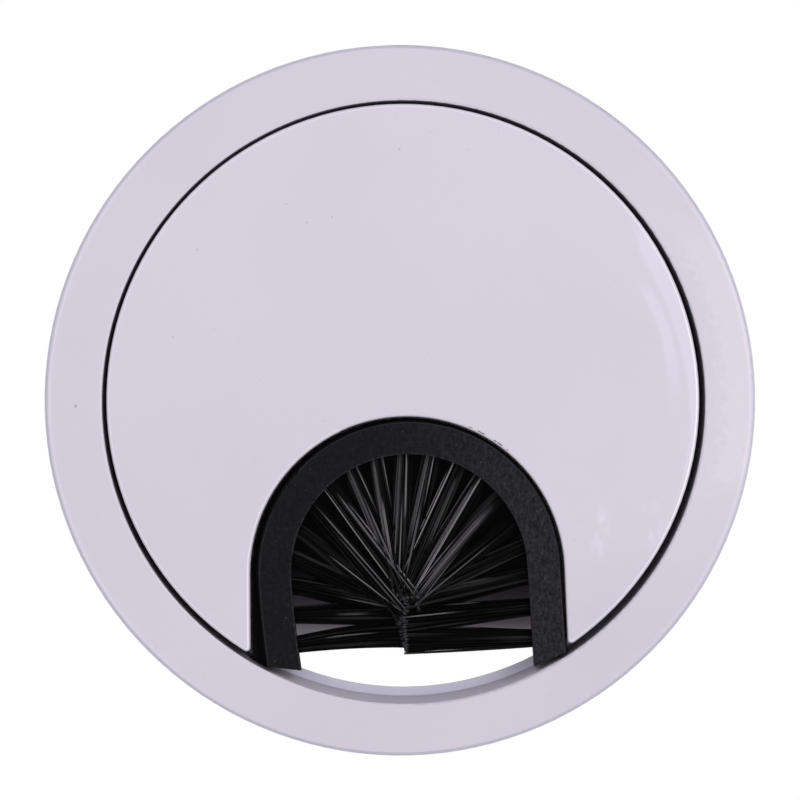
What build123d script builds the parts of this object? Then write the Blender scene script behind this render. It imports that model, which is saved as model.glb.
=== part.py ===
from build123d import *
import math
import os

# Round cable grommet for a desk top, as two painted die-cast pieces and a brush.
# The ring drops into a round hole: its flange lies on the desk and its sleeve fills the hole.
# The lid rests on the ring's ledge, flush with the flange, and has a U-shaped notch for cables.
# A plastic strip with a row of wire-anchored bristle tufts is bent round the inside of the notch.
#
# Millimetres. The origin is on the ring's axis in the plane of the desk top, +Z is up to the
# face that is seen, and the notch opens toward -Y.

# Desk hole, flange and sleeve
desk_hole_diameter = 80.0
sleeve_play = 0.25
flange_overlap = 5.0
flange_shift_x = -0.46
flange_shift_y = 0.22
flange_thickness = 2.2
flange_edge_radius = 0.5
sleeve_depth = 18.0
sleeve_wall = 1.6
sleeve_lead_in = 0.7

# Seat for the lid inside the ring
seat_wall = 1.53
seat_taper = 0.75
seat_mouth_radius = 0.35
ledge_width = 1.02
ledge_thickness = 1.6

# Lid: a shallow cap
lid_height = 5.5
lid_plate = 2.0
lid_gap = 0.64
lid_foot_gap = 0.3
lid_rest_gap = 0.06
lid_slide_angle = 23.0
lid_skirt_wall = 1.8
lid_edge_radius = 0.45

# Notch in the lid, with a wall round it and a lip at the wall's foot
notch_radius = 19.88
notch_centre_reach = 22.0
notch_flare = 1.1
notch_wall = 1.6
notch_corner_radius = 0.5
lip_width = 2.4
lip_thickness = 1.1

# Brush strip: a bar of constant section bent to a U, with a thin foot that fills the notch
strip_play = 0.58
brush_shift_x = 0.29
brush_shift_y = 0.15
strip_touch_gap = 0.03
strip_width = 4.3
strip_height = 4.0
strip_outer_round = 0.4
strip_inner_chamfer = 0.18
strip_left_past = 1.68
strip_right_past = 2.95
strip_left_bow = 5.0
strip_left_cut = 10.4
strip_right_cut = 20.7
strip_end_gap = 0.1
foot_height = 2.6
foot_play = 0.18

# Bristle tufts, folded in half over a flat wire in a blind hole
left_leg_tufts = 3
bend_tufts = 13
right_leg_tufts = 3
left_end_margin = 3.3
left_bend_margin = 3.28
right_bend_margin = 2.58
right_end_margin = 3.5
tuft_hole_diameter = 2.4
tuft_hole_depth = 3.2
tuft_diameter = 2.2
tuft_tip_radius = 1.6
tuft_tip_height = 3.6
tuft_tip_share = 0.8
tuft_meeting_offset = 1.2
tuft_meeting_gap = 0.3

# Flat wires across the tuft holes
wire_width = 1.0
wire_thickness = 0.3
wire_bite = 0.3
wire_fit = 0.02
wire_fold = 0.4

# Sizes that follow
sleeve_radius = desk_hole_diameter / 2 - sleeve_play
sleeve_bore_radius = sleeve_radius - sleeve_wall
flange_radius = desk_hole_diameter / 2 + flange_overlap
face_z = flange_thickness
ledge_z = face_z - lid_height
ledge_foot_z = ledge_z - ledge_thickness
seat_top_radius = sleeve_radius - seat_wall
seat_foot_radius = seat_top_radius - seat_taper
ledge_radius = seat_foot_radius - ledge_width

lid_top_radius = seat_top_radius - lid_gap
lid_foot_radius = seat_foot_radius - lid_foot_gap
# The lid has slid toward the side away from its notch, and a little to the left.
lid_shift = lid_foot_gap - lid_rest_gap
lid_centre = Vector(0, lid_shift).rotate(Axis.Z, lid_slide_angle)
notch_centre = lid_centre - Vector(0, notch_centre_reach)
brush_centre = notch_centre + Vector(brush_shift_x, brush_shift_y)

strip_outer_radius = notch_radius - strip_play
strip_inner_radius = strip_outer_radius - strip_width
strip_mid_radius = strip_outer_radius - strip_width / 2
strip_foot_z = ledge_z + lip_thickness
# Straight side of the notch, from its bend to the ring; each leg of the strip reaches past it.
notch_leg = math.sqrt(seat_foot_radius**2 - notch_radius**2) + notch_centre.Y
strip_left_leg = notch_leg + strip_left_past
strip_right_leg = notch_leg + strip_right_past
strip_right_side = strip_right_leg - strip_width * math.tan(math.radians(strip_right_cut))
# The brush leans until the outer side of its right leg almost touches the wall of the notch.
side_room = strip_play - brush_shift_x - strip_touch_gap
brush_lean = notch_flare + math.degrees(math.atan(side_room / strip_right_side))
# The left leg is bowed inward: an arc that ends at the angle strip_left_bow to its start.
bow_radius = strip_left_leg / math.radians(strip_left_bow)

tuft_z = strip_foot_z + strip_height / 2
# Spacing of the tufts on each leg, and the angle between them on the bend; all near 4 mm.
left_pitch = (strip_left_leg - left_end_margin + left_bend_margin) / left_leg_tufts
right_pitch = (strip_right_leg - right_end_margin + right_bend_margin) / right_leg_tufts
bend_start = left_bend_margin / strip_mid_radius
bend_end = math.pi - right_bend_margin / strip_mid_radius
bend_step = (bend_end - bend_start) / (bend_tufts - 1)
wire_length = tuft_hole_diameter + 2 * wire_bite
wire_depth = tuft_hole_depth - wire_fold - wire_width / 2

# A cutting body reaches this far past what it cuts.
past = 1.0
# Side of a block that is larger than any piece.
reach = 2 * flange_radius


def lathe(points, radii):
    """Solid of revolution round Z from a closed (radius, z) outline with a fillet at each point."""
    outline = FilletPolyline(*points, radius=radii, close=True)
    return revolve(Plane.XZ * make_face(outline), Axis.Z)


def notch_outline(radius, flare, length):
    """Closed U: a half round of the radius, with legs that open by the flare toward -Y."""
    angle = math.radians(flare)
    right = Vector(radius * math.cos(angle), radius * math.sin(angle))
    left = Vector(-right.X, right.Y)
    down = Vector(math.sin(angle), -math.cos(angle)) * length
    foot_right = right + down
    foot_left = Vector(-foot_right.X, foot_right.Y)
    arc = ThreePointArc(left, Vector(0, radius), right)
    sides = Polyline(right, foot_right, foot_left, left)
    return make_face(arc + sides)


def notch_block(inset, low, high):
    """Prism of the notch's own shape, inset from its wall, between two heights."""
    face = notch_outline(notch_radius - inset, notch_flare, reach)
    return Pos(notch_centre.X, notch_centre.Y, low) * extrude(face, high - low)


def seat_cone(play):
    """The space inside the ring's seat, less the play, from the ledge to the face."""
    cone = Cone(
        seat_foot_radius - play,
        seat_top_radius - play,
        lid_height,
        align=(Align.CENTER, Align.CENTER, Align.MIN),
    )
    return Pos(0, 0, ledge_z) * cone


def make_ring():
    """Tapered seat, ledge and sleeve about one axis, with a flange that is cast a little off it."""
    rim_radius = (seat_top_radius + seat_mouth_radius + sleeve_radius) / 2
    rim = [(rim_radius, 0), (flange_radius, 0), (flange_radius, face_z), (rim_radius, face_z)]
    flange = lathe(rim, [0, 0, flange_edge_radius, 0])
    points = [
        (sleeve_radius, face_z),
        (seat_top_radius, face_z),
        (seat_foot_radius, ledge_z),
        (ledge_radius, ledge_z),
        (ledge_radius, ledge_foot_z),
        (sleeve_bore_radius, ledge_foot_z),
        (sleeve_bore_radius, -sleeve_depth),
        (sleeve_radius - sleeve_lead_in, -sleeve_depth),
        (sleeve_radius, -sleeve_depth + sleeve_lead_in),
    ]
    radii = [0, seat_mouth_radius, 0, 0, 0, 0, 0, 0, 0]
    return lathe(points, radii) + Pos(flange_shift_x, flange_shift_y) * flange


def make_lid():
    """Shallow cap with a tapered rim, cut by the notch, with a wall and a lip round the notch."""
    under_plate = face_z - lid_plate
    skirt_radius = lid_foot_radius - lid_skirt_wall
    place = Pos(lid_centre.X, lid_centre.Y, 0)
    rim = [(0, face_z), (lid_top_radius, face_z), (lid_foot_radius, ledge_z)]
    full = place * lathe([*rim, (0, ledge_z)], [0, 0, 0, 0])
    hollow = place * Pos(0, 0, ledge_z - past) * Cylinder(
        skirt_radius,
        under_plate - ledge_z + past,
        align=(Align.CENTER, Align.CENTER, Align.MIN),
    )
    wall = full & notch_block(-notch_wall, ledge_z, face_z)
    lip = wall & notch_block(0, ledge_z, strip_foot_z) - notch_block(lip_width, ledge_z, strip_foot_z)
    lid = (full - hollow) + wall
    lid -= notch_block(0, ledge_z - past, face_z + past)
    full_height = lid.edges().filter_by(lambda edge: edge.bounding_box().size.Z > under_plate - ledge_z)
    mouth_corners = full_height.filter_by(lambda edge: edge.center().Y < notch_centre.Y)
    lid = fillet(mouth_corners, notch_corner_radius)
    top = lid.faces().sort_by(Axis.Z)[-1]
    lid = fillet(top.outer_wire().edges(), lid_edge_radius)
    return lid + lip


def brush_place(height=0.0):
    """Place of the brush's own plane, whose origin is the middle of its bend, at a height."""
    return Pos(brush_centre.X, brush_centre.Y, height) * Rot(0, 0, brush_lean)


def left_leg_point(way, radius):
    """Point on the bowed left leg, and the inward direction there, for a line at a radius of the bend."""
    turn = way / bow_radius
    inward = Vector(math.cos(turn), math.sin(turn))
    middle = Vector(bow_radius - strip_mid_radius, 0) - inward * bow_radius
    return middle + inward * (strip_mid_radius - radius), inward


def strip_bar():
    """The bar: one rounded section swept along the bend and both legs, before its ends are cut."""
    left_way = strip_left_leg + past
    left_foot, left_inward = left_leg_point(left_way, strip_mid_radius)
    left_halfway, _ = left_leg_point(left_way / 2, strip_mid_radius)
    left = Vector(-strip_mid_radius, 0)
    right = Vector(strip_mid_radius, 0)
    right_foot = Vector(strip_mid_radius, -strip_right_leg - past)
    path = ThreePointArc(left_foot, left_halfway, left)
    path += ThreePointArc(left, Vector(0, strip_mid_radius), right)
    path += Line(right, right_foot)
    half = strip_width / 2
    section_plane = Plane(origin=left_foot, x_dir=left_inward * -1, z_dir=left_inward.rotate(Axis.Z, 90))
    corners = [
        (-half, 0),
        (half, 0),
        (half, strip_height),
        (strip_inner_chamfer - half, strip_height),
        (-half, strip_height - strip_inner_chamfer),
    ]
    outline = FilletPolyline(*corners, radius=[0, 0, strip_outer_round, 0, 0], close=True)
    return sweep(section_plane * make_face(outline), path=path)


def end_cut(corner, angle):
    """Block beyond the slanted cut through the inner corner of a leg's end."""
    block = Box(reach, reach, reach, align=(Align.CENTER, Align.MAX, Align.CENTER))
    return Pos(corner.X, corner.Y, 0) * Rot(0, 0, angle) * block


def tuft_points():
    """Middle of the strip and inward direction at each tuft, in the brush's own plane."""
    left = Vector(-1, 0)
    left_ways = [left_pitch * (left_leg_tufts - i) - left_bend_margin for i in range(left_leg_tufts)]
    turns = [bend_start + bend_step * i for i in range(bend_tufts)]
    bend = [Vector(math.cos(turn), -math.sin(turn)) for turn in turns]
    right_leg = [
        Vector(strip_mid_radius, right_bend_margin - right_pitch * (i + 1)) for i in range(right_leg_tufts)
    ]
    places = [left_leg_point(way, strip_mid_radius) for way in left_ways]
    places += [(inward * -strip_mid_radius, inward) for inward in bend]
    places += [(middle, left) for middle in right_leg]
    return places


def tuft_tip(middle, inward):
    """End of a tuft's middle line: near the centre of the bend, or at the line where legs meet."""
    if middle.Y >= 0:
        return inward * -tuft_tip_radius
    return Vector(-tuft_meeting_offset - inward.X * tuft_meeting_gap / 2, middle.Y)


def across(point, tip, inward):
    """Distance of a point from a tuft's middle line."""
    return abs((point - tip).cross(inward).Z)


def tuft_frame(point, inward):
    """Plane square to a tuft, with its local x level and its local y upright."""
    return Plane(origin=(point.X, point.Y, tuft_z), x_dir=(-inward.Y, inward.X, 0), z_dir=inward)


def hole_frame(middle, inward):
    """Plane at the strip's inner side that looks into a tuft's hole."""
    return tuft_frame(middle + inward * (strip_width / 2), inward * -1)


def wire_box(play, frame):
    """Flat wire upright across a tuft's hole, with play on every side."""
    box = Box(wire_thickness + 2 * play, wire_length + 2 * play, wire_width + 2 * play)
    return frame * Pos(0, 0, wire_depth) * box


def make_strip(places):
    """Bar and foot as one piece, with slanted ends, tuft holes and slots for the wires."""
    bar = brush_place(strip_foot_z) * strip_bar()
    foot_top = strip_foot_z + foot_height
    foot = notch_block(foot_play, strip_foot_z, foot_top)
    foot -= notch_block(strip_play + strip_width / 2, strip_foot_z - past, foot_top + past)
    strip = bar + foot
    place = brush_place()
    left_corner, _ = left_leg_point(strip_left_leg, strip_inner_radius)
    right_corner = Vector(strip_inner_radius, -strip_right_leg)
    strip -= place * end_cut(left_corner, -strip_left_cut)
    strip -= place * end_cut(right_corner, strip_right_cut)
    strip &= seat_cone(strip_end_gap)
    for middle, inward in places:
        frame = hole_frame(middle, inward)
        hole = Cylinder(
            tuft_hole_diameter / 2,
            tuft_hole_depth + past,
            align=(Align.CENTER, Align.CENTER, Align.MIN),
        )
        strip -= place * (frame * Pos(0, 0, -past) * hole + wire_box(wire_fit, frame))
    return strip


def make_tuft(places, index):
    """One tuft: a round root in its hole, spread to a tall narrow tip at the middle of the brush."""
    middle, inward = places[index]
    face = middle + inward * (strip_width / 2)
    tip = tuft_tip(middle, inward)
    beside = [places[i] for i in (index - 1, index + 1) if 0 <= i < len(places)]
    room = min(across(tuft_tip(*other), tip, inward) for other in beside)
    root_face = tuft_frame(face, inward) * Circle(tuft_diameter / 2)
    tip_face = tuft_frame(tip, inward) * Ellipse(room * tuft_tip_share / 2, tuft_tip_height / 2)
    frame = hole_frame(middle, inward)
    root = frame * Cylinder(
        tuft_diameter / 2, tuft_hole_depth - wire_fit, align=(Align.CENTER, Align.CENTER, Align.MIN)
    )
    tuft = loft([root_face, tip_face]) + root - wire_box(wire_fit, frame)
    return brush_place() * tuft


def make_wires(places):
    """All the anchor wires, one in each tuft hole."""
    place = brush_place()
    return Compound(children=[place * wire_box(0, hole_frame(*at)) for at in places])


def main():
    os.makedirs("parts", exist_ok=True)
    places = tuft_points()
    parts = {
        "ring": make_ring(),
        "lid": make_lid(),
        "brush_strip": make_strip(places),
        "anchor_wires": make_wires(places),
    }
    for index in range(len(places)):
        parts[f"bristle_tuft_{index + 1:02d}"] = make_tuft(places, index)
    for name, shape in parts.items():
        export_step(shape, f"parts/{name}.step")


main()
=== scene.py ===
"""Looks of a round cable grommet: painted castings, brush strip and bristles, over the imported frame.

The castings, the strip and the anchor wires keep their solid shapes and get finishes. Each solid
tuft is replaced by a bundle of single filaments. Lengths are in metres, in the frame of the CAD.
"""

import math

import bmesh
import bpy
from bpy.props import FloatProperty, FloatVectorProperty, IntProperty, PointerProperty
from mathutils import Matrix, Vector


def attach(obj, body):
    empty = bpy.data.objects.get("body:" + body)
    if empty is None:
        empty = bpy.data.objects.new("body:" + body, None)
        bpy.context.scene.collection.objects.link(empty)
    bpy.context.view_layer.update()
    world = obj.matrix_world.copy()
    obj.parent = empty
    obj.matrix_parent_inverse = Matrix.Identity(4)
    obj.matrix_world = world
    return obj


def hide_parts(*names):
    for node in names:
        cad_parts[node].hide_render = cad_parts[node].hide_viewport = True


bl_info = {
    "name": "Cable grommet looks",
    "version": (1, 0, 0),
    "blender": (4, 5, 0),
    "location": "View3D > Sidebar > Grommet",
    "description": "Finishes, bristle bundles and a plain stage for a cable grommet",
    "category": "Object",
}

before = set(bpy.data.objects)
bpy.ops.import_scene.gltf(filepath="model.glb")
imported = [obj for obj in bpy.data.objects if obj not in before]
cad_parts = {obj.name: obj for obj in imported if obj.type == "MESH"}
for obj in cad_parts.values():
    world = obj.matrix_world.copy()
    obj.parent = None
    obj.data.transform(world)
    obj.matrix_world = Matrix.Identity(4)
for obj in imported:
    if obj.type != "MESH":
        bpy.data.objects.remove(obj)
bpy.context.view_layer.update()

MM = 0.001
TUFTS = sorted(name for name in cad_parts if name.startswith("bristle_tuft_"))


def length(name, description, millimetres):
    """A length that a user can change, with its default in millimetres."""
    return FloatProperty(
        name=name, description=description, default=millimetres * MM, unit="LENGTH", precision=5
    )


def angle(name, description, degrees):
    """An angle that a user can change, with its default in degrees."""
    return FloatProperty(
        name=name, description=description, default=math.radians(degrees), subtype="ANGLE"
    )


def colour(name, description, *linear):
    """A linear colour that a user can change."""
    return FloatVectorProperty(
        name=name, description=description, default=linear, size=3, min=0, max=1, subtype="COLOR"
    )


class BrushSizes(bpy.types.PropertyGroup):
    """Where the bristle bundles stand on the strip, and how their filaments spread."""

    notch_x: length("Notch right", "Way right from the ring's axis to the notch's centre", -0.094)
    notch_y: length("Notch up", "Way up from the ring's axis to the notch's centre", -21.779)
    shift_x: length("Shift right", "Way of the brush to the right in its notch", 0.29)
    shift_y: length("Shift up", "Way of the brush up the photo in its notch", 0.15)
    lean: angle("Lean", "Turn of the brush in its notch", 2.417)
    bow: angle("Bow", "Turn of the left leg from end to end", 5.0)
    inner_radius: length("Inner radius", "Inner radius of the bent strip", 15.0)
    strip_width: length("Strip width", "Width of the strip, seen from above", 4.3)
    left_leg: length("Left leg", "Length of the strip left of the bend", 11.663)
    right_leg: length("Right leg", "Length of the strip right of the bend", 12.933)
    left_end: length("Left end", "Way from the end of the left leg to its first tuft", 3.3)
    left_start: length("Left start", "Way from the left leg to the first tuft of the bend", 3.28)
    right_start: length("Right start", "Way from the last tuft of the bend to the right leg", 2.58)
    right_end: length("Right end", "Way from the last tuft to the end of the right leg", 3.5)
    left_tufts: IntProperty(name="Left tufts", description="Tufts on the left leg", default=3, min=1)
    bend_tufts: IntProperty(name="Bend tufts", description="Tufts on the bend", default=13, min=2)
    height: length("Tuft height", "Height of the tuft holes above the desk", -0.2)
    root_radius: length("Root radius", "Radius of a bundle where it leaves its hole", 1.17)
    buried: length("Buried length", "Length of the filaments inside the hole", 2.2)
    filament: length("Filament", "Diameter of one filament", 0.15)
    count: IntProperty(name="Filaments", description="Filaments in a tuft", default=150, min=1)
    sides: IntProperty(name="Sides", description="Sides of a filament's section", default=5, min=3)
    steps: IntProperty(name="Steps", description="Points along a filament", default=12, min=2)


class GrommetColours(bpy.types.PropertyGroup):
    """Base colours of the four finishes."""

    paint: colour("Paint", "Gloss paint on the castings", 0.659, 0.615, 0.710)
    chip: colour("Chip", "Bare dark spots where the paint is scuffed", 0.020, 0.018, 0.022)
    strip: colour("Strip", "Grained plastic of the brush strip", 0.0100, 0.0092, 0.0128)
    bristle: colour("Bristle", "Nylon filaments", 0.0012, 0.0011, 0.0014)
    # Sheen is the colour of the painted highlight streaks on single filaments.
    sheen: colour("Sheen", "Rubbed filaments", 0.360, 0.338, 0.366)
    wire: colour("Wire", "Anchor wires", 0.45, 0.44, 0.43)


class StageSizes(bpy.types.PropertyGroup):
    """Camera and floor."""

    distance: length("Distance", "Height of the camera above the desk", 602.2)
    offset_x: length("Offset right", "Shift of the camera to the right", -0.45)
    offset_y: length("Offset up", "Shift of the camera up", 0.24)
    focal: FloatProperty(
        name="Focal length", description="Focal length of the lens in millimetres", default=213.4
    )
    roll: angle("Roll", "Turn of the camera", -1.42)
    floor: length("Floor", "Height of the floor", -18.0)


class Field:
    """An output socket; sums on it add Math nodes."""

    def __init__(self, graph, socket):
        self.graph, self.socket = graph, socket

    def math(self, operation, *values):
        return self.graph.node("ShaderNodeMath", {"operation": operation}, dict(enumerate(values)))

    def __add__(self, other):
        return self.math("ADD", self, other)

    def __radd__(self, other):
        return self.math("ADD", other, self)

    def __sub__(self, other):
        return self.math("SUBTRACT", self, other)

    def __rsub__(self, other):
        return self.math("SUBTRACT", other, self)

    def __mul__(self, other):
        return self.math("MULTIPLY", self, other)

    def __rmul__(self, other):
        return self.math("MULTIPLY", other, self)

    def __truediv__(self, other):
        return self.math("DIVIDE", self, other)

    def __pow__(self, other):
        return self.math("POWER", self, other)

    def __lt__(self, other):
        return self.math("LESS_THAN", self, other)

    def __gt__(self, other):
        return self.math("GREATER_THAN", self, other)

    def __abs__(self):
        return self.math("ABSOLUTE", self)

    def larger(self, other):
        return self.math("MAXIMUM", self, other)

    def between(self, low, high):
        return (self > low) * (self < high)

    def ramp(self, low, high):
        """0 up to low, 1 from high on, and smooth between; low may be the larger one."""
        settings = {"interpolation_type": "SMOOTHSTEP"}
        sockets = {"Value": self, "From Min": low, "From Max": high}
        return self.graph.node("ShaderNodeMapRange", settings, sockets)

    def window(self, rise, full, fade, end):
        """1 from full to fade, with smooth sides, and 0 outside rise and end."""
        return self.ramp(rise, full) * (1 - self.ramp(fade, end))


class Graph:
    """A node tree, with one method that adds any node."""

    def __init__(self, tree):
        self.tree = tree

    def node(self, kind, settings=None, sockets=None, output=0):
        """Adds a node, sets it, fills its sockets and gives one output, or the node for None."""
        made = self.tree.nodes.new(kind)
        for key, value in (settings or {}).items():
            if key == "stops":
                self.set_stops(made.color_ramp, value)
            else:
                setattr(made, key, value)
        for key, value in (sockets or {}).items():
            self.fill(self.pick(made.inputs, key), value)
        if output is None:
            return made
        return Field(self, self.pick(made.outputs, output))

    @staticmethod
    def pick(sockets, key):
        """A socket by its place among those in use, or by its name."""
        in_use = [socket for socket in sockets if socket.enabled]
        if isinstance(key, int):
            return in_use[key]
        return next(socket for socket in in_use if socket.name == key)

    @staticmethod
    def set_stops(ramp, stops):
        while len(ramp.elements) > 1:
            ramp.elements.remove(ramp.elements[-1])
        ramp.elements[0].position = stops[0][0]
        ramp.elements[0].color = stops[0][1]
        for place, value in stops[1:]:
            ramp.elements.new(place).color = value

    def fill(self, socket, value):
        if isinstance(value, Field):
            self.tree.links.new(value.socket, socket)
        elif socket.type == "RGBA" and len(value) == 3:
            socket.default_value = (*value, 1)
        else:
            socket.default_value = value

    def split(self, vector):
        made = self.node("ShaderNodeSeparateXYZ", sockets={"Vector": vector}, output=None)
        return [Field(self, socket) for socket in made.outputs]

    def join(self, x, y, z):
        return self.node("ShaderNodeCombineXYZ", sockets={"X": x, "Y": y, "Z": z})

    def vector(self, operation, *values):
        return self.node("ShaderNodeVectorMath", {"operation": operation}, dict(enumerate(values)))

    def mix(self, factor, a, b, blend="MIX"):
        settings = {"data_type": "RGBA", "blend_type": blend}
        return self.node("ShaderNodeMix", settings, {"Factor": factor, "A": a, "B": b})


class Finish(Graph):
    """A material with one Principled shader, on Object coordinates in millimetres."""

    def __init__(self, name):
        self.material = bpy.data.materials.new(name)
        self.material.use_nodes = True
        super().__init__(self.material.node_tree)
        self.tree.nodes.clear()
        object_place = self.node("ShaderNodeTexCoord", output="Object")
        self.place = self.node(
            "ShaderNodeVectorMath", {"operation": "SCALE"}, {"Vector": object_place, "Scale": 1 / MM}
        )

    def noise(self, scale, detail=2.0, roughness=0.5, at=None):
        """Noise from 0 to 1 with that many lumps in a millimetre."""
        sockets = {"Vector": at or self.place, "Scale": scale, "Detail": detail, "Roughness": roughness}
        return self.node("ShaderNodeTexNoise", sockets=sockets)

    def normal(self):
        """Right, up the photo and upward parts of the surface's direction."""
        return self.split(self.node("ShaderNodeTexCoord", output="Normal"))

    def around(self, x, y):
        """Distance in millimetres from an upright line, and the way right of it and up the photo."""
        px, py, _ = self.split(self.place)
        across, along = px - x, py - y
        return (across * across + along * along) ** 0.5, across, along

    def bump(self, height, depth, normal=None):
        """Relief of so many millimetres where the height is 1."""
        sockets = {"Strength": 1.0, "Distance": depth * MM, "Height": height}
        if normal:
            sockets["Normal"] = normal
        return self.node("ShaderNodeBump", sockets=sockets)

    def close(self, **sockets):
        """Adds the shader, with underscores for the blanks in its sockets' names."""
        named = {key.replace("_", " "): value for key, value in sockets.items()}
        shader = self.node("ShaderNodeBsdfPrincipled", sockets=named)
        self.node("ShaderNodeOutputMaterial", sockets={"Surface": shader}, output=None)
        return self.material


# Places on the castings, in millimetres.
FACE_HEIGHT = 1.8  # what lies above it belongs to the visible faces
LID_CENTRE = (-0.09, 0.22)
LID_RADIUS = 37.58
LID_LIMIT = 37.8  # between the lid's face and the flange
FLANGE_CENTRE = (-0.46, 0.22)
SEAT_RADII = (36.9, 38.5)  # inside and outside the wall of the lid's seat
SEAT_HEIGHTS = (-3.5, 1.95)
LEDGE_HEIGHTS = (-3.4, -3.2)
NOTCH_LIMIT = 20.8  # outside the rounded edge of the notch
SCUFF_RADIUS = 20.2

# Specks on the paint: way right, way up the photo and radius, in millimetres.
DUST = (
    (-41.5, 0.5, 0.22),
    (0.3, 32.0, 0.12),
    (-14.2, 25.4, 0.12),
    (-8.5, 23.6, 0.12),
    (-11.7, 23.0, 0.12),
    (-29.0, 8.9, 0.12),
    (-25.6, 19.9, 0.12),
)

# Painted reflections on the lid.
# Mirrored blots on the lid: way right, way up the photo, half width and half height.
BLOTS = (
    (24.4, -17.2, 1.6, 4.2),
    (30.9, -16.4, 1.8, 3.4),
)


def times(f, factor, tint, red, green=None, blue=None):
    """The tint multiplied by these, or by the one number given, where the factor is 1."""
    scale = (red, red if green is None else green, red if blue is None else blue)
    return f.mix(factor, tint, scale, "MULTIPLY")


def casting_faces(f):
    """Fields of the castings: the level faces on top, distance from the axis, and the lid's face."""
    _, _, pz = f.split(f.place)
    _, _, nz = f.normal()
    top = (nz > 0.9) * (pz > FACE_HEIGHT)
    ring_radius, _, _ = f.around(0, 0)
    return top, ring_radius, (ring_radius < LID_LIMIT) * top


def shaded_faces(f, tint):
    """Painted light and shade: a lid that is paler toward the top, a slightly paler flange, and a
    flange that is darker at the lower right.
    """
    px, py, pz = f.split(f.place)
    top, _, on_lid = casting_faces(f)
    tint = times(f, on_lid * py.ramp(-45.0, 45.0), tint, 1.035)
    tint = times(f, (1 - on_lid) * top, tint, 1.012, 1.013, 1.004)
    # Painted shade, darker toward the lower right.
    lower_right_shade = (0.3 * px - py).ramp(22.0, 40.0) * (pz > FACE_HEIGHT)
    return times(f, lower_right_shade * (0.58 + 0.45 * px.ramp(8.0, 26.0)), tint, 0.94)


def mirrored_light(f, tint):
    """Painted reflections of light on the right: a crescent, a streak and blots on the lid, a patch
    outside.
    """
    px, py, pz = f.split(f.place)
    top, ring_radius, on_lid = casting_faces(f)
    lid_radius, _, _ = f.around(*LID_CENTRE)
    width = 1.0 + 1.4 * py.window(-8.0, 13.0, 17.0, 23.0)
    crescent = 1 - ((LID_RADIUS - lid_radius) / width).ramp(0.75, 1.1)
    crescent = crescent * py.window(-16.6, -6.6, 19.4, 22.9)
    from_streak = abs(lid_radius + 0.1 * (py - 8.0).larger(0.0) - 34.35)
    streak = (1 - from_streak.ramp(0.35, 1.1)) * py.window(-4.0, 6.0, 12.5, 15.0)
    blots = []
    for right, up, wide, tall in BLOTS:
        _, across, along = f.around(right, up)
        across, along = across / wide, along / tall
        blots.append(1 - ((across * across + along * along) ** 0.5).ramp(0.4, 1.1))
    wisps = f.noise(0.6, 2.0, at=f.join(px * 1.5, py * 0.7, pz)).ramp(0.42, 0.60)
    blot = blots[0].larger(blots[1]) * wisps
    painted_reflection = (crescent * 0.85).larger(streak * 0.85).larger(blot * 0.8)
    # Painted reflections make the lid paler on the right.
    tint = times(f, painted_reflection * on_lid * (px > 0), tint, 1.10)

    mottle = f.noise(0.9, 3.0)
    ragged = (mottle - 0.5) * 5.0
    patch = (ring_radius + ragged).ramp(39.4, 41.4) * (py + ragged).window(-13.5, -9.0, 17.5, 24.0)
    patch = patch * (1 - on_lid) * top * (px > 0)
    return times(f, patch * (0.5 + 1.0 * mottle), tint, 1.065)


def flange_rim_shade_glint_and_dust(f, tint):
    """Painted shade as a dark line on the flange's rounded rim, a painted glint inside it, and single
    specks of dust.
    """
    px, _, _ = f.split(f.place)
    _, _, nz = f.normal()
    top, _, _ = casting_faces(f)
    flange_radius, _, _ = f.around(*FLANGE_CENTRE)
    # Painted shade on the rounded rim; the glint below is a painted highlight.
    tint = times(f, flange_radius.ramp(44.46, 44.70) * (nz > 0.1), tint, 0.76, 0.78, 0.83)
    glint = (1 - abs(flange_radius - 44.32).ramp(0.06, 0.26)) * abs(px).ramp(20.0, 42.0) * top
    tint = times(f, glint, tint, 1.07)
    for right, up, size in DUST:
        speck = (1 - f.around(right, up)[0].ramp(size * 0.5, size * 1.2)) * top
        tint = f.mix(speck * 0.55, tint, (0.25, 0.24, 0.30))
    return tint


def painted_seat_light_and_gap_shade(f, tint):
    """Painted light on the seat's ledge and painted shade on its wall, seen in the slot and deeper low
    down, and painted shade in the dark gap round the rest of the lid.
    """
    px, py, pz = f.split(f.place)
    _, _, nz = f.normal()
    ring_radius, _, _ = f.around(0, 0)
    # Painted light: the ledge paler and bluer than the paint.
    tint = f.mix(pz.between(*LEDGE_HEIGHTS) * (nz > 0.9), tint, (0.74, 0.715, 0.86))
    # Painted shade on the seat's wall in the slot, deeper low down, and nearly black in the gap
    # elsewhere.
    wall = ring_radius.between(*SEAT_RADII) * pz.between(*SEAT_HEIGHTS) * (nz < 0.9)
    slot = (py < 0) * (1 - abs(px - 0.5).ramp(17.0, 19.2))
    low_wall_shade = 1 - pz.ramp(-2.6, -1.2)
    tint = f.mix(wall * slot * (0.15 + 0.4 * low_wall_shade), tint, (0.45, 0.43, 0.56))
    return f.mix(wall * (1 - slot) * 0.7, tint, (0.02, 0.02, 0.05))


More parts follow.
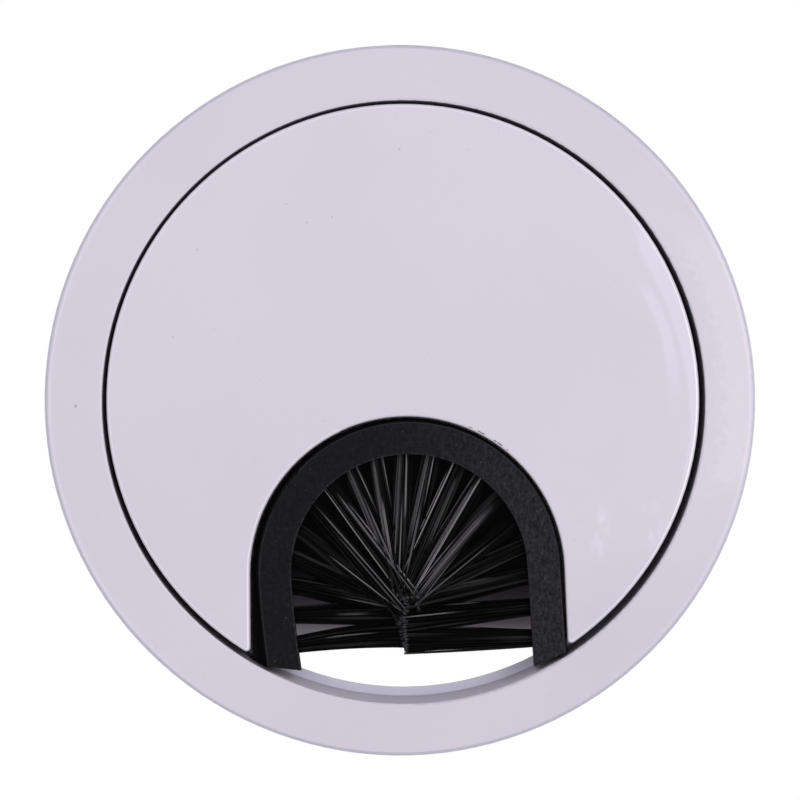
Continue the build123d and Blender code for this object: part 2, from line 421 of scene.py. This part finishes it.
def notch_edge(f, tint, brush, chip):
    """Painted shade on the notch's rounded edge and painted highlights on the rims; gives the tint and
    the scuff's mask.
    """
    px, py, pz = f.split(f.place)
    _, _, nz = f.normal()
    ring_radius, _, _ = f.around(0, 0)
    radius, across, along = f.around(brush.notch_x / MM, brush.notch_y / MM)
    near = (radius < NOTCH_LIMIT).larger((abs(across) < NOTCH_LIMIT) * (along < 0))
    near = near * (pz > 1.0) * (ring_radius < 37.9)
    left = across < -8.0
    # Painted shade where the notch's rounded edge turns away, less on the left.
    notch_edge_shade = near * (1 - nz.ramp(0.35, 0.97)) * (0.85 - left * 0.45)
    tint = f.mix(notch_edge_shade, tint, (0.03, 0.03, 0.04))
    # Painted highlights on the edge's rounding and on the lid's rim, brightest at the right.
    edge_highlight_band = nz.window(0.90, 0.94, 0.985, 0.998) * (pz > FACE_HEIGHT)
    rim = ring_radius.between(36.6, 37.7) * (0.6 + 0.4 * px.ramp(20.0, 34.0))
    arc = 1 - 0.45 * along.ramp(0.0, 6.0)
    tint = f.mix(edge_highlight_band * (near * left * arc).larger(rim), tint, (0.80, 0.81, 0.90))
    lit_rim = edge_highlight_band * (rim > 0.1) * px.ramp(31.0, 35.0) * (1 - py.ramp(6.0, 16.0))
    tint = f.mix(lit_rim, tint, (0.94, 0.93, 1.0))

    turn = across / along.larger(0.001)
    edge = 1 - abs(radius - SCUFF_RADIUS).ramp(0.03, 0.09)
    broken = f.noise(0.9, 1.0, at=f.vector("ADD", f.place, (3.0, 1.0, 0.0))).ramp(0.47, 0.56)
    scuff = edge * broken * turn.window(0.30, 0.34, 0.83, 0.90) * (along > 0) * (pz > 1.0)
    return f.mix(scuff, tint, list(chip)), scuff


def gloss_paint(colours, brush):
    """Smooth gloss paint with orange peel, fine specks and scuffs round the notch's edge."""
    f = Finish("gloss_paint")
    cloud = f.noise(0.035, 3.0)
    fine = f.noise(1.1, 2.0)
    specks = f.noise(2.6, 1.0).ramp(0.74, 0.80)
    paint = list(colours.paint)
    tint = f.mix(cloud.ramp(0.35, 0.65), [c * 0.985 for c in paint], [c * 1.01 for c in paint])
    tint = f.mix(fine * 0.03, tint, (0.9, 0.9, 0.92))
    tint = f.mix(specks * 0.16, tint, [c * 0.6 for c in paint])
    # Painted light and shade: paler and darker faces, reflections, the rim's shade and glint, the
    # ledge's light and the gap's shade.
    tint = shaded_faces(f, tint)
    tint = mirrored_light(f, tint)
    tint = flange_rim_shade_glint_and_dust(f, tint)
    tint = painted_seat_light_and_gap_shade(f, tint)
    tint, scuff = notch_edge(f, tint, brush, colours.chip)
    relief = f.bump(f.noise(0.55, 2.0, 0.45), 0.012)
    relief = f.bump(specks - scuff, 0.02, relief)
    return f.close(
        Base_Color=tint,
        Roughness=0.34 + 0.05 * fine + scuff * 0.3,
        Normal=relief,
        Coat_Weight=0.25,
        Coat_Roughness=0.12,
        Specular_IOR_Level=0.4,
    )


def grained_plastic(colours, brush):
    """Matte black plastic with a fine broken grain, and painted sheen that makes it greyer and more
    mottled toward the right.
    """
    f = Finish("grained_plastic")
    px, py, pz = f.split(f.place)
    nx, ny, nz = f.normal()
    grain = f.noise(2.2, 3.0, 0.6)
    streaks = f.noise(1.0, 2.0, at=f.join(px * 2.4, py * 1.1, pz))
    coarse = f.noise(0.5, 2.0)
    # Painted sheen: greyer and more mottled toward the right.
    right_sheen = px.ramp(-6.0, 22.0)
    lumps = grain.ramp(0.36, 0.72) * 0.8 + streaks.ramp(0.4, 0.7) * 0.5 + coarse * 0.4
    level = lumps * (0.44 + 1.50 * right_sheen) + 0.2
    base = f.mix(level * 0.16, (0.0, 0.0, 0.0), [c * 7.5 for c in colours.strip])
    dots = f.noise(3.1, 0.0, at=f.vector("ADD", f.place, (7.0, 0.0, 2.0))).ramp(0.79, 0.86)
    base = f.mix(dots * 0.25, base, (0.16, 0.15, 0.17))

    # Painted shade: deep black on the rounded outer shoulder and the foot; painted highlights: a paler
    # line along the top's outer edge and on the inner edge.
    centre_x, centre_y = brush.notch_x + brush.shift_x, brush.notch_y + brush.shift_y
    _, across, along = f.around(centre_x / MM, centre_y / MM)
    outward = nx * across + ny * along.larger(0.0)
    shoulder_shade = (outward > 0.3) * (1 - nz.ramp(0.80, 0.99))
    inner = (outward < -0.3) * nz.between(0.4, 0.95)
    line = (outward > 0.05) * nz.window(0.90, 0.96, 0.985, 0.999)
    foot_shade = pz < 1.0
    base = f.mix(shoulder_shade.larger(foot_shade), base, (0.0012, 0.0012, 0.0015))
    base = f.mix(line * (0.3 + 0.5 * grain), base, (0.035, 0.033, 0.040))
    base = f.mix(inner * grain.ramp(0.3, 0.6) * 0.8, base, (0.030, 0.028, 0.034))
    return f.close(
        Base_Color=base,
        Roughness=0.62 + 0.2 * grain,
        Normal=f.bump(grain, 0.05),
        Specular_IOR_Level=0.12,
    )


def nylon(colours):
    """Smooth black nylon, each filament in its own shade, with painted highlight streaks and pale cut
    tips.
    """
    f = Finish("nylon_filament")
    shade, along, rubbed = (
        f.node("ShaderNodeAttribute", {"attribute_name": name}, output="Fac")
        for name in ("shade", "along", "rubbed")
    )
    dust = f.noise(1.6, 2.0)
    base = f.mix(shade, [c * 0.5 for c in colours.bristle], [c * 1.8 for c in colours.bristle])
    base = f.mix(rubbed, base, list(colours.sheen))
    base = f.mix(along.ramp(0.975, 0.99), base, (0.050, 0.048, 0.053))
    return f.close(
        Base_Color=base,
        Roughness=0.40 + 0.15 * dust,
        Specular_IOR_Level=0.08,
    )


def drawn_wire(colours):
    """Drawn steel with fine lines up its length."""
    f = Finish("drawn_wire")
    px, py, pz = f.split(f.place)
    lines = f.noise(6.0, 2.0, at=f.join(px, py, pz * 0.1))
    base = f.mix(lines, [c * 0.8 for c in colours.wire], list(colours.wire))
    return f.close(Base_Color=base, Roughness=0.3 + 0.2 * lines, Metallic=1.0)


GOLDEN_ANGLE = 2.39996
STREAK_NUMBERS = (1, 2, 3)


def bundle_tree():
    """Geometry nodes for one bundle: filaments from a round root along +X, spread toward the tip."""
    tree = bpy.data.node_groups.new("bristle_bundle", "GeometryNodeTree")
    g = Graph(tree)
    inputs = [
        ("Filaments", "NodeSocketInt"),
        ("Steps", "NodeSocketInt"),
        ("Sides", "NodeSocketInt"),
        ("Thickness", "NodeSocketFloat"),
        ("Root Radius", "NodeSocketFloat"),
        ("Buried", "NodeSocketFloat"),
        ("Reach", "NodeSocketFloat"),
        ("Spread Right", "NodeSocketFloat"),
        ("Spread Left", "NodeSocketFloat"),
        ("Rise", "NodeSocketFloat"),
        ("Tilt", "NodeSocketFloat"),
        ("Bend", "NodeSocketFloat"),
        *((f"Streak {number}", "NodeSocketVector") for number in STREAK_NUMBERS),
        *((f"Span {number}", "NodeSocketVector") for number in STREAK_NUMBERS),
        ("Seed", "NodeSocketInt"),
        ("Material", "NodeSocketMaterial"),
    ]
    for name, kind in inputs:
        tree.interface.new_socket(name, in_out="INPUT", socket_type=kind)
    tree.interface.new_socket("Geometry", in_out="OUTPUT", socket_type="NodeSocketGeometry")
    group = g.node("NodeGroupInput", output=None)
    given = {name: Field(g, group.outputs[name]) for name, _ in inputs}

    line = g.node("GeometryNodeCurvePrimitiveLine", sockets={"End": (1, 0, 0)})
    line = g.node("GeometryNodeResampleCurve", sockets={"Curve": line, "Count": given["Steps"]})
    copies = g.node(
        "GeometryNodeDuplicateElements",
        {"domain": "SPLINE"},
        {"Geometry": line, "Amount": given["Filaments"]},
        output=None,
    )
    index = Field(g, copies.outputs["Duplicate Index"])
    share = g.node("GeometryNodeSplineParameter", output="Factor")

    def chance(low, high, number):
        """A random value for each filament; number picks the draw."""
        settings = {"data_type": "FLOAT"}
        sockets = {"Min": low, "Max": high, "ID": index, "Seed": given["Seed"] * 10 + number}
        return g.node("FunctionNodeRandomValue", settings, sockets)

    ring = ((index + 0.5) / given["Filaments"]) ** 0.5
    turn = index * GOLDEN_ANGLE + chance(-0.25, 0.25, 1)
    side = ring * turn.math("COSINE", turn)
    up = ring * turn.math("SINE", turn)

    # The first filaments lie on top, two side by side at the place of each streak.
    for number in STREAK_NUMBERS:
        centre, _, strength = g.split(given[f"Streak {number}"])
        first = 2 * number - 2
        chosen = index.between(first - 0.5, first + 1.5) * (strength > 0.01)
        side = side + chosen * (centre + (index - first - 0.5) * 0.04 - side)
        up = up + chosen * ((1.02 - centre * centre) ** 0.5 - up)

    span = given["Reach"] * (1 + chance(-0.012, 0.012, 2)) + given["Buried"]
    x = share * span - given["Buried"]
    free = x.larger(0.0)
    middle = (given["Spread Left"] - given["Spread Right"]) / 2
    fan = (given["Spread Left"] + given["Spread Right"]) / 2
    slope = middle + fan * side + chance(-0.004, 0.004, 3) + given["Bend"] * free
    bow = (share * math.pi).math("SINE", share * math.pi)
    y = side * given["Root Radius"] + slope * free + bow * chance(-0.00012, 0.00012, 4)
    climb = given["Tilt"] + given["Rise"] * up + chance(-0.012, 0.012, 5)
    z = up * given["Root Radius"] + climb * free + bow * chance(-0.00015, 0.0001, 6)

    bundle = g.node(
        "GeometryNodeSetPosition",
        sockets={"Geometry": Field(g, copies.outputs["Geometry"]), "Position": g.join(x, y, z)},
    )
    # Painted highlight: a faint random sheen in bands, and the listed streaks over it.
    place = g.join(side * 3.0, given["Seed"] * 3.7, share * 0.8)
    band = g.node("ShaderNodeTexNoise", sockets={"Vector": place, "Scale": 1.0, "Detail": 1.0})
    rubbed = band.ramp(0.52, 0.66) * 0.06
    reached = free / given["Reach"]
    for number in STREAK_NUMBERS:
        centre, width, strength = g.split(given[f"Streak {number}"])
        start, end, _ = g.split(given[f"Span {number}"])
        patchy = (width > 0.15) * chance(0.0, 0.8, 8)
        near = (1 - (abs(side - centre) / width).ramp(0.6, 1.2)) * (1 - patchy)
        inside = reached.window(start - 0.06, start + 0.06, end - 0.08, end + 0.06)
        rubbed = rubbed.larger(near * strength * inside)
    rubbed = rubbed * (up > -0.2)
    for name, value in (("shade", chance(0.0, 1.0, 7)), ("along", share), ("rubbed", rubbed)):
        bundle = g.node(
            "GeometryNodeStoreNamedAttribute",
            {"data_type": "FLOAT", "domain": "POINT"},
            {"Geometry": bundle, "Name": name, "Value": value},
        )
    profile = g.node(
        "GeometryNodeCurvePrimitiveCircle",
        sockets={"Resolution": given["Sides"], "Radius": given["Thickness"] / 2},
    )
    tubes = g.node(
        "GeometryNodeCurveToMesh",
        sockets={"Curve": bundle, "Profile Curve": profile, "Fill Caps": True},
    )
    tubes = g.node("GeometryNodeSetShadeSmooth", sockets={"Geometry": tubes})
    tubes = g.node("GeometryNodeRealizeInstances", sockets={"Geometry": tubes})
    tubes = g.node(
        "GeometryNodeSetMaterial", sockets={"Geometry": tubes, "Material": given["Material"]}
    )
    g.node("NodeGroupOutput", sockets={"Geometry": tubes}, output=None)
    return tree


def tuft_places(brush):
    """Matrix of each tuft: +X inward from the strip's inner side, +Z up."""
    middle = brush.inner_radius + brush.strip_width / 2
    bow_radius = brush.left_leg / brush.bow
    right_tufts = len(TUFTS) - brush.left_tufts - brush.bend_tufts
    left_pitch = (brush.left_leg - brush.left_end + brush.left_start) / brush.left_tufts
    right_pitch = (brush.right_leg - brush.right_end + brush.right_start) / right_tufts
    start = brush.left_start / middle
    step = (math.pi - start - brush.right_start / middle) / (brush.bend_tufts - 1)
    spots = []
    for index in range(brush.left_tufts):
        turn = (left_pitch * (brush.left_tufts - index) - brush.left_start) / bow_radius
        inward = Vector((math.cos(turn), math.sin(turn), 0))
        spots.append((Vector((bow_radius - middle, 0, 0)) - inward * bow_radius, inward))
    for index in range(brush.bend_tufts):
        inward = Vector((math.cos(start + step * index), -math.sin(start + step * index), 0))
        spots.append((inward * -middle, inward))
    for index in range(right_tufts):
        beyond = right_pitch * (index + 1) - brush.right_start
        spots.append((Vector((middle, -beyond, 0)), Vector((-1, 0, 0))))
    centre = Vector((brush.notch_x + brush.shift_x, brush.notch_y + brush.shift_y, brush.height))
    brush_plane = Matrix.Translation(centre) @ Matrix.Rotation(brush.lean, 4, "Z")
    places = []
    for spot, inward in spots:
        face = spot + inward * (brush.strip_width / 2)
        turn = math.atan2(inward.y, inward.x)
        places.append(brush_plane @ Matrix.Translation(face) @ Matrix.Rotation(turn, 4, "Z"))
    return places


# Each tuft from the lower left to the lower right: turn in degrees seen from above, bend a
# millimetre, slope of its two sides, slope upward, and free length in millimetres.
TUFT_SHAPES = (
    (2.0, -0.0050, 0.055, -0.045, 13.4),
    (-4.5, 0.0, 0.047, -0.040, 13.9),
    (-15.5, 0.0, 0.030, -0.035, 14.4),
    (-18.0, 0.0, 0.030, -0.020, 15.2),
    (-17.4, 0.0, 0.030, -0.010, 16.6),
    (-15.6, 0.0, 0.030, 0.005, 17.6),
    (-5.5, 0.0, 0.030, 0.015, 17.6),
    (-6.0, 0.0, 0.030, 0.015, 17.6),
    (-6.7, 0.0, 0.030, 0.005, 17.4),
    (-5.0, 0.0, 0.030, 0.000, 17.2),
    (-1.0, 0.0, 0.030, 0.000, 17.0),
    (0.0, 0.0, 0.030, 0.005, 16.9),
    (7.2, 0.0, 0.030, 0.010, 16.6),
    (7.0, 0.004, 0.030, 0.015, 16.2),
    (13.0, 0.0, 0.030, 0.020, 16.0),
    (12.2, 0.0, 0.030, 0.020, 16.2),
    (8.9, 0.0, 0.035, 0.018, 16.0),
    (2.4, 0.0, 0.042, 0.020, 16.1),
    (-3.3, 0.0, 0.050, 0.024, 16.2),
)

# Slope up and down of a bundle's upper and lower side.
BUNDLE_RISE = 0.05

# Painted highlight streaks by tuft: place across it from -1 to 1, half width, strength, and where
# along the free length it starts and ends.
STREAKS = {
    1: ((0.2, 0.035, 0.28, 0.3, 0.68),),
    2: ((0.0, 0.035, 0.15, 0.45, 0.65),),
    3: ((-0.2, 0.035, 0.22, 0.5, 0.8),),
    5: ((0.0, 0.035, 0.46, 0.35, 0.97),),
    6: (
        (0.45, 0.035, 0.38, 0.1, 0.95),
        (0.1, 0.035, 0.19, 0.3, 0.9),
    ),
    7: (
        (-0.7, 0.035, 0.53, 0.0, 0.97),
        (0.2, 0.035, 0.34, 0.15, 0.97),
        (0.5, 0.035, 0.57, 0.28, 0.95),
    ),
    8: (
        (-0.3, 0.34, 0.29, 0.0, 0.55),
        (0.68, 0.035, 0.46, 0.0, 0.28),
        (0.1, 0.035, 0.3, 0.3, 0.8),
    ),
    9: (
        (-0.4, 0.28, 0.44, 0.0, 0.6),
        (0.72, 0.035, 0.42, 0.0, 0.28),
        (-0.1, 0.035, 0.5, 0.35, 0.72),
    ),
    10: (
        (-0.4, 0.32, 0.34, 0.0, 0.8),
        (0.3, 0.035, 0.46, 0.0, 0.42),
        (0.0, 0.035, 0.38, 0.4, 0.85),
    ),
    11: (
        (-0.32, 0.28, 0.4, 0.0, 0.6),
        (0.28, 0.035, 0.46, 0.0, 0.28),
        (0.0, 0.035, 0.26, 0.4, 0.85),
    ),
    12: (
        (-0.5, 0.035, 0.68, 0.0, 0.87),
        (-0.78, 0.035, 0.46, 0.15, 0.9),
        (0.45, 0.22, 0.27, 0.15, 0.6),
    ),
    13: (
        (-0.85, 0.035, 0.3, 0.035, 0.8),
        (-0.1, 0.035, 0.60, 0.0, 0.97),
        (-0.4, 0.035, 0.26, 0.1, 0.8),
    ),
    14: (
        (-0.1, 0.36, 0.53, 0.18, 0.95),
        (-0.6, 0.035, 0.38, 0.5, 0.97),
        (0.45, 0.035, 0.22, 0.6, 0.97),
    ),
    15: ((0.2, 0.035, 0.17, 0.3, 0.95),),
    17: ((-0.7, 0.035, 0.17, 0.35, 0.5),),
    18: (
        (-0.3, 0.035, 0.34, 0.62, 0.97),
        (-0.9, 0.035, 0.22, 0.45, 0.6),
    ),
    19: ((-0.95, 0.035, 0.34, 0.5, 0.6),),
}
NO_STREAK = (0.0, 1.0, 0.0, 0.0, 1.0)


def evaluated_mesh(tree, values, name):
    """The mesh that the tree gives for these inputs."""
    holder = bpy.data.objects.new(name + "_holder", bpy.data.meshes.new(name + "_holder"))
    bpy.context.scene.collection.objects.link(holder)
    modifier = holder.modifiers.new("bundle", "NODES")
    modifier.node_group = tree
    for item in tree.interface.items_tree:
        if item.in_out == "INPUT":
            modifier[item.identifier] = values[item.name]
    depsgraph = bpy.context.evaluated_depsgraph_get()
    mesh = bpy.data.meshes.new_from_object(holder.evaluated_get(depsgraph))
    bpy.data.objects.remove(holder)
    return mesh


def add_piece(name, mesh, slot, *replaced):
    """A finished piece on the root body, from a mesh that is already in place."""
    mesh.name = name
    piece = bpy.data.objects.new(name, mesh)
    bpy.context.scene.collection.objects.link(piece)
    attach(piece, "root")
    if replaced:
        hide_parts(*replaced)
    return piece


def coat_node(name, material):
    """Gives every material slot of a CAD node the finish."""
    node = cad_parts[name]
    if not node.material_slots:
        node.data.materials.append(material)
    for place in node.material_slots:
        place.material = material


class GROMMET_OT_castings(bpy.types.Operator):
    """Paint the ring and the lid"""

    bl_idname = "grommet.castings"
    bl_label = "Paint ring and lid"

    def execute(self, context):
        paint = gloss_paint(context.scene.grommet_colours, context.scene.grommet_brush)
        for name in ("ring", "lid"):
            coat_node(name, paint)
        return {"FINISHED"}


class GROMMET_OT_strip(bpy.types.Operator):
    """Give the brush strip its grained plastic"""

    bl_idname = "grommet.strip"
    bl_label = "Finish brush strip"

    def execute(self, context):
        scene = context.scene
        coat_node("brush_strip", grained_plastic(scene.grommet_colours, scene.grommet_brush))
        return {"FINISHED"}


class GROMMET_OT_wires(bpy.types.Operator):
    """Give the anchor wires their drawn steel"""

    bl_idname = "grommet.wires"
    bl_label = "Finish anchor wires"

    def execute(self, context):
        coat_node("anchor_wires", drawn_wire(context.scene.grommet_colours))
        return {"FINISHED"}


class GROMMET_OT_bristles(bpy.types.Operator):
    """Set a bundle of filaments in place of each solid tuft"""

    bl_idname = "grommet.bristles"
    bl_label = "Make bristle bundles"

    def execute(self, context):
        brush = context.scene.grommet_brush
        tree = bundle_tree()
        material = nylon(context.scene.grommet_colours)
        for index, place in enumerate(tuft_places(brush)):
            turn, bend, fan, tilt, reach = TUFT_SHAPES[index]
            middle = math.tan(math.radians(turn))
            values = {
                "Filaments": brush.count,
                "Steps": brush.steps,
                "Sides": brush.sides,
                "Thickness": brush.filament,
                "Root Radius": brush.root_radius - brush.filament / 2,
                "Buried": brush.buried,
                "Reach": reach * MM,
                "Spread Right": fan - middle,
                "Spread Left": fan + middle,
                "Rise": BUNDLE_RISE,
                "Tilt": tilt,
                "Bend": bend / MM,
                "Seed": index + 1,
                "Material": material,
            }
            streaks = STREAKS.get(index + 1, ())
            for number in STREAK_NUMBERS:
                streak = streaks[number - 1] if number <= len(streaks) else NO_STREAK
                values[f"Streak {number}"] = streak[:3]
                values[f"Span {number}"] = (*streak[3:], 0.0)
            name = f"filaments_{index + 1:02d}"
            mesh = evaluated_mesh(tree, values, name)
            if not mesh.polygons:
                raise RuntimeError(f"{name} came out empty")
            mesh.transform(place)
            add_piece(name, mesh, "black_bristle", TUFTS[index])
        return {"FINISHED"}


# Painted shade on the floor inside the sleeve, dark under the brush and white in the slot.
# What shows through the opening: way up the photo in millimetres, and brightness.
FLOOR_SHADES = (
    (-22, 0.002),
    (-24.5, 0.012),
    (-26.2, 0.023),
    (-28.7, 0.055),
    (-30, 0.12),
    (-31.2, 0.13),
    (-31.5, 1),
)
SHADES_FROM = -20
SHADES_SPAN = 13
SHADES_SLOPE = 0.036
OPENING_RADII = (38.0, 40.0)  # the shading ends between them

# Area lamps: name, place and size in metres, and power in watts.
LAMPS = (
    ("right_panel", (0.52, 0.05, 0.55), (0.9, 0.30), 2.6),
    ("left_panel", (-0.55, 0.05, 0.55), (0.9, 0.25), 1.2),
)
FLOOR_HALF = 3.0  # half the floor's side in metres


class GROMMET_OT_stage(bpy.types.Operator):
    """Add the floor, the lamps, the world and the camera"""

    bl_idname = "grommet.stage"
    bl_label = "Set the stage"

    def execute(self, context):
        scene = context.scene
        stage = scene.grommet_stage
        scene.view_settings.view_transform = "Standard"
        self.add_floor(stage)
        self.add_world(scene)
        for lamp in LAMPS:
            self.add_lamp(*lamp)
        self.add_camera(scene, stage)
        return {"FINISHED"}

    @staticmethod
    def seen_rays(g):
        """1 for rays that show the background, straight or in gloss or glass."""
        made = g.node("ShaderNodeLightPath", output=None)
        names = ("Is Camera Ray", "Is Glossy Ray", "Is Transmission Ray")
        straight, glossy, through = (Field(g, made.outputs[name]) for name in names)
        return straight.larger(glossy).larger(through)

    def add_floor(self, stage):
        mesh = bpy.data.meshes.new("floor")
        shape = bmesh.new()
        bmesh.ops.create_grid(shape, x_segments=1, y_segments=1, size=FLOOR_HALF)
        bmesh.ops.translate(shape, verts=shape.verts, vec=(0, 0, stage.floor))
        shape.to_mesh(mesh)
        shape.free()
        f = Finish("pale_floor")
        radius, across, along = f.around(0, 0)
        # Painted shade on the floor under the brush, from the table of floor shades.
        depth = (SHADES_FROM - along - across * SHADES_SLOPE) / SHADES_SPAN
        stops = [
            ((SHADES_FROM - y) / SHADES_SPAN, (v, v * 0.86 + v * v * 0.14, min(v * 1.08, 1.0), 1))
            for y, v in FLOOR_SHADES
        ]
        painted_floor_shade = f.node("ShaderNodeValToRGB", {"stops": stops}, {"Fac": depth})
        painted_floor_shade = f.mix(radius.ramp(*OPENING_RADII), painted_floor_shade, (1.0, 1.0, 1.0))
        lit = f.node("ShaderNodeBsdfDiffuse", sockets={"Color": (0.8, 0.8, 0.8)})
        white = f.node("ShaderNodeEmission", sockets={"Color": painted_floor_shade, "Strength": 1.0})
        surface = f.node("ShaderNodeMixShader", sockets={0: self.seen_rays(f), 1: lit, 2: white})
        f.node("ShaderNodeOutputMaterial", sockets={"Surface": surface}, output=None)
        mesh.materials.append(f.material)
        floor = bpy.data.objects.new("floor", mesh)
        bpy.context.scene.collection.objects.link(floor)

    def add_world(self, scene):
        world = bpy.data.worlds.new("studio")
        world.use_nodes = True
        g = Graph(world.node_tree)
        g.tree.nodes.clear()
        direction = g.node("ShaderNodeTexCoord", output="Generated")
        _, _, up = g.split(direction)
        shade = g.mix(up.ramp(0.25, 0.75), (0.95, 0.95, 0.95), (0.50, 0.50, 0.50))
        sky = g.node("ShaderNodeBackground", sockets={"Color": shade, "Strength": 1.0})
        g.node("ShaderNodeOutputWorld", sockets={"Surface": sky}, output=None)
        scene.world = world

    @staticmethod
    def add_lamp(name, place, size, power):
        data = bpy.data.lights.new(name, "AREA")
        data.shape = "RECTANGLE"
        data.size, data.size_y = size
        data.energy = power
        lamp = bpy.data.objects.new(name, data)
        lamp.location = place
        away = Vector(place).normalized()
        flat = Vector((0, 1, 0))
        upright = away.cross(flat).normalized()
        flat = upright.cross(away).normalized()
        lamp.rotation_euler = Matrix((flat, upright, flat.cross(upright))).transposed().to_euler()
        bpy.context.scene.collection.objects.link(lamp)

    @staticmethod
    def add_camera(scene, stage):
        data = bpy.data.cameras.new("camera")
        data.lens = stage.focal
        data.sensor_width = 36.0
        data.clip_start, data.clip_end = 0.01, 10.0
        camera = bpy.data.objects.new("camera", data)
        turn = Matrix.Rotation(stage.roll, 4, "Z")
        camera.location = turn @ Vector((stage.offset_x, stage.offset_y, stage.distance))
        camera.rotation_euler = (0, 0, stage.roll)
        scene.collection.objects.link(camera)
        scene.camera = camera


class GROMMET_PT_panel(bpy.types.Panel):
    """Lists the sizes, the colours and the operators"""

    bl_idname = "GROMMET_PT_panel"
    bl_label = "Cable grommet"
    bl_space_type = "VIEW_3D"
    bl_region_type = "UI"
    bl_category = "Grommet"

    def draw(self, context):
        scene = context.scene
        for group in (scene.grommet_brush, scene.grommet_colours, scene.grommet_stage):
            box = self.layout.box()
            for key in group.__annotations__:
                box.prop(group, key)
        for operator in OPERATORS:
            self.layout.operator(operator.bl_idname)


OPERATORS = (
    GROMMET_OT_castings,
    GROMMET_OT_strip,
    GROMMET_OT_wires,
    GROMMET_OT_bristles,
    GROMMET_OT_stage,
)
GROUPS = (BrushSizes, GrommetColours, StageSizes)


def register():
    for item in (*GROUPS, *OPERATORS, GROMMET_PT_panel):
        bpy.utils.register_class(item)
    bpy.types.Scene.grommet_brush = PointerProperty(type=BrushSizes)
    bpy.types.Scene.grommet_colours = PointerProperty(type=GrommetColours)
    bpy.types.Scene.grommet_stage = PointerProperty(type=StageSizes)


def unregister():
    for name in ("grommet_brush", "grommet_colours", "grommet_stage"):
        delattr(bpy.types.Scene, name)
    for item in reversed((*GROUPS, *OPERATORS, GROMMET_PT_panel)):
        bpy.utils.unregister_class(item)


def main():
    register()
    bpy.ops.grommet.castings()
    bpy.ops.grommet.strip()
    bpy.ops.grommet.wires()
    bpy.ops.grommet.bristles()
    bpy.ops.grommet.stage()


if __name__ == "__main__":
    main()
